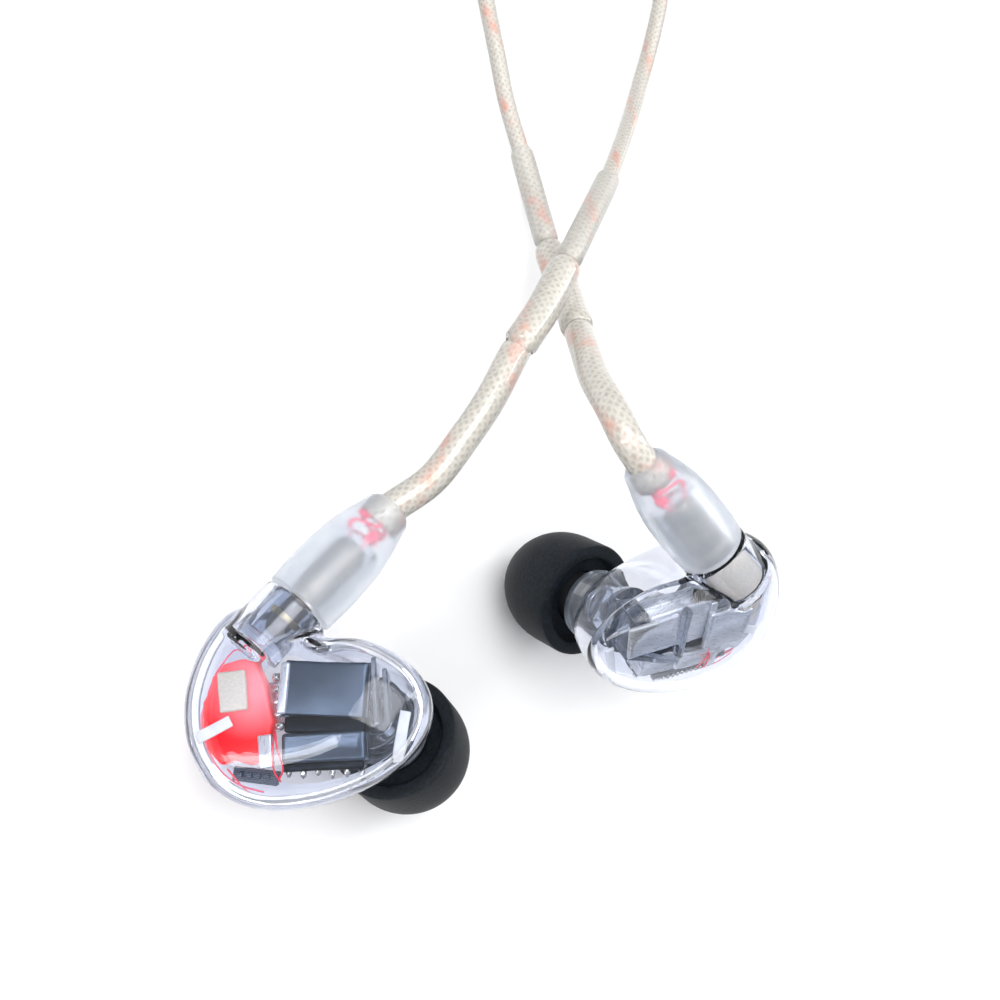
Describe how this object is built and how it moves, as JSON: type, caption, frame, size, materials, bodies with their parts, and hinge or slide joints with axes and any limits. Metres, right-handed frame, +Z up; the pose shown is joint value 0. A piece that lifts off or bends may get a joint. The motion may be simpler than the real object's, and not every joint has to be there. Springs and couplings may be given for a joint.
{
  "type": "in ear monitors",
  "caption": "Pair of in ear monitors with clear egg-shaped housings, foam ear tips, swivelling plug-in boots, formable ear sheaths and a clear lead that joins at a splitter and ends in a jack.",
  "frame": {"origin": "on the table, under the middle of the pair of earphones", "axes": "+X from the left earphone towards the right one, +Y along the lead away from the earphones, +Z up from the table"},
  "size_m": [0.074, 0.2193, 0.0305],
  "materials": {
    "clear_shell": "polished clear",
    "clear_trim": "clear, moulded",
    "smoke_trim": "smoky clear, moulded threads",
    "foam": "fine foam",
    "soft_black": "matte",
    "driver_dark": "drawn steel, blue-grey",
    "driver_bright": "drawn steel, satin",
    "red_resin": "translucent red",
    "milky_resin": "translucent, milky",
    "board": "printed board, dark",
    "cream_plastic": "moulded",
    "gold_plate": "gold plated",
    "barrel_metal": "grey-brown, turned",
    "frosted_boot": "frosted clear, soft",
    "braided_lead": "clear jacket over braid",
    "shrunk_sleeve": "clear shrink tube",
    "clear_lead": "clear jacket over braid",
    "grey_plastic": "moulded",
    "handle_metal": "turned"
  },
  "bodies": {
    "lead": {"left_boot": "frosted_boot", "left_plug_barrel": "barrel_metal", "left_sheath": "braided_lead", "left_sleeve_overlap": "shrunk_sleeve", "left_sleeve": "shrunk_sleeve", "left_branch_run": "clear_lead", "left_branch_coil": "clear_lead", "left_branch_lead": "clear_lead", "right_boot": "frosted_boot", "right_plug_barrel": "barrel_metal", "right_sheath": "braided_lead", "right_sleeve_overlap": "shrunk_sleeve", "right_sleeve": "shrunk_sleeve", "right_branch_run": "clear_lead", "right_branch_coil": "clear_lead", "right_branch_lead": "clear_lead", "y_splitter": "grey_plastic", "main_run": "clear_lead", "main_coil": "clear_lead", "coil_clip": "soft_black", "main_lead": "clear_lead", "jack_strain_relief": "grey_plastic", "jack_handle": "handle_metal", "jack_sleeve_contact": "gold_plate", "jack_ring_contact": "gold_plate", "jack_tip_contact": "gold_plate"},
    "left_swivel_ring": {"left_snap_ring": "gold_plate"},
    "left_earphone": {"left_outer_shell": "clear_shell", "left_inner_shell": "clear_shell", "left_socket": "clear_trim", "left_low_driver": "driver_dark", "left_mid_driver": "driver_dark", "left_high_driver": "driver_bright", "left_rear_driver": "driver_bright", "left_cradle": "red_resin", "left_crossover_board": "board", "left_nozzle_stem": "clear_trim"},
    "left_collar": {"left_nozzle_collar": "smoke_trim"},
    "left_ear_tip": {"left_tip_foam": "foam", "left_tip_core": "soft_black"},
    "right_swivel_ring": {"right_snap_ring": "gold_plate"},
    "right_earphone": {"right_outer_shell": "clear_shell", "right_inner_shell": "clear_shell", "right_socket": "cream_plastic", "right_low_driver": "driver_bright", "right_mid_driver": "driver_bright", "right_high_driver": "driver_bright", "right_rear_driver": "driver_bright", "right_cradle": "milky_resin", "right_crossover_board": "board", "right_nozzle_stem": "clear_trim"},
    "right_collar": {"right_nozzle_collar": "smoke_trim"},
    "right_ear_tip": {"right_tip_foam": "foam", "right_tip_core": "soft_black"},
    "cinch": {"cinch_slider": "grey_plastic"}
  },
  "joints": [
    {"name": "left_swivel", "type": "hinge", "parent": "lead", "child": "left_swivel_ring", "pos_m": [-0.0195, 0.00657, 0.0113], "axis": [0.7261, 0.6736, 0.1377], "continuous": true},
    {"name": "left_unplug", "type": "slide", "parent": "left_swivel_ring", "child": "left_earphone", "axis": [-0.7261, -0.6736, -0.1377], "range_m": [0, 0.005]},
    {"name": "left_collar_turn", "type": "hinge", "parent": "left_earphone", "child": "left_collar", "pos_m": [-0.01034, -0.00601, 0.00908], "axis": [0.6345, -0.3732, -0.6769], "continuous": true},
    {"name": "left_tip_pull", "type": "slide", "parent": "left_earphone", "child": "left_ear_tip", "axis": [0.6345, -0.3732, -0.6769], "range_m": [0, 0.01]},
    {"name": "right_swivel", "type": "hinge", "parent": "lead", "child": "right_swivel_ring", "pos_m": [0.01765, 0.00883, 0.02477], "axis": [-0.7667, 0.5714, 0.2928], "continuous": true},
    {"name": "right_unplug", "type": "slide", "parent": "right_swivel_ring", "child": "right_earphone", "axis": [0.7667, -0.5714, -0.2928], "range_m": [0, 0.005]},
    {"name": "right_collar_turn", "type": "hinge", "parent": "right_earphone", "child": "right_collar", "pos_m": [0.01249, 0.00561, 0.01028], "axis": [-0.1466, 0.4564, -0.8776], "continuous": true},
    {"name": "right_tip_pull", "type": "slide", "parent": "right_earphone", "child": "right_ear_tip", "axis": [-0.1466, 0.4564, -0.8776], "range_m": [0, 0.01]},
    {"name": "cinch_slide", "type": "slide", "parent": "lead", "child": "cinch", "axis": [0, 1, 0], "range_m": [-0.005, 0.005]}
  ]
}
